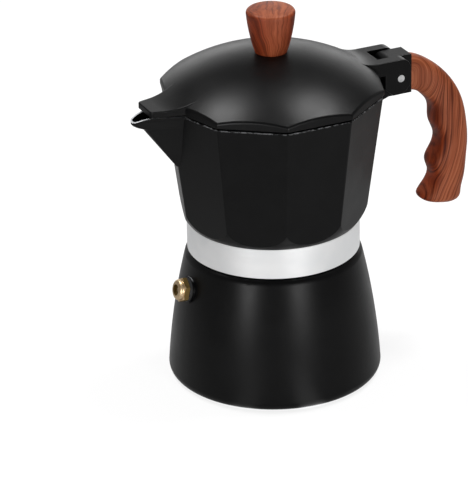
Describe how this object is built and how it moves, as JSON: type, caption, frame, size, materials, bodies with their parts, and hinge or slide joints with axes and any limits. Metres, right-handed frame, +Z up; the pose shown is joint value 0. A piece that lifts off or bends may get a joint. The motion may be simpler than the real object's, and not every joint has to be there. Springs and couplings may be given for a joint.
{
  "type": "moka pot",
  "caption": "Stovetop moka pot: round black boiler with brass safety valve, ten-sided collector with spout and hinged domed lid, wood-look knob and handle.",
  "frame": {"origin": "centre of the flat base", "axes": "+Z up, +X towards the handle, -X towards the spout, +Y to the left of someone who looks from the spout towards the handle"},
  "size_m": [0.1521, 0.0888, 0.1605],
  "materials": {
    "black_paint": "satin black coat on cast aluminium",
    "bare_aluminium": "smooth bare metal",
    "wood_look": "reddish-brown wood-grain print on moulded plastic",
    "brass": "turned brass",
    "steel": "plain steel",
    "silicone": "off-white sealing rubber",
    "black_rubber": "black sealing rubber"
  },
  "bodies": {
    "boiler_unit": {"boiler": "black_paint", "valve_body": "brass", "valve_washer": "black_rubber", "valve_retainer": "brass", "valve_spring": "steel"},
    "plunger": {"valve_plunger": "brass"},
    "funnel": {"funnel_basket": "bare_aluminium", "funnel_stem": "bare_aluminium", "basket_screen": "bare_aluminium"},
    "seal": {"gasket": "silicone", "filter_plate": "bare_aluminium"},
    "collector": {"collector_body": "black_paint", "coffee_column": "bare_aluminium", "neck_band": "bare_aluminium", "hinge_pin": "steel", "handle": "wood_look", "handle_insert": "brass", "handle_stud": "steel"},
    "lid": {"lid": "black_paint", "lid_knob": "wood_look", "knob_insert": "brass", "knob_screw": "steel", "knob_washer": "steel"}
  },
  "joints": [
    {"name": "valve_release", "type": "slide", "parent": "boiler_unit", "child": "plunger", "axis": [-0.9799, 0, 0.1996], "range_m": [0, 0.0015], "stiffness_N_per_m": 800, "springref_m": -0.002, "deforming": ["valve_spring"]},
    {"name": "funnel_lift", "type": "slide", "parent": "boiler_unit", "child": "funnel", "axis": [0, 0, 1], "range_m": [0, 0.065]},
    {"name": "collector_rise", "type": "slide", "parent": "funnel", "child": "seal", "axis": [0, 0, 1], "range_m": [0, 0.009]},
    {"name": "collector_turn", "type": "hinge", "parent": "seal", "child": "collector", "pos_m": [0, 0, 0.06], "axis": [0, 0, 1], "range_deg": [0, 1080]},
    {"name": "lid_hinge", "type": "hinge", "parent": "collector", "child": "lid", "pos_m": [0.05435, 0, 0.1229], "axis": [0, 1, 0], "range_deg": [0, 92]}
  ],
  "couplings": [
    {"joint": "collector_rise", "follows": "collector_turn", "m_per_rad": 0.00047746}
  ]
}
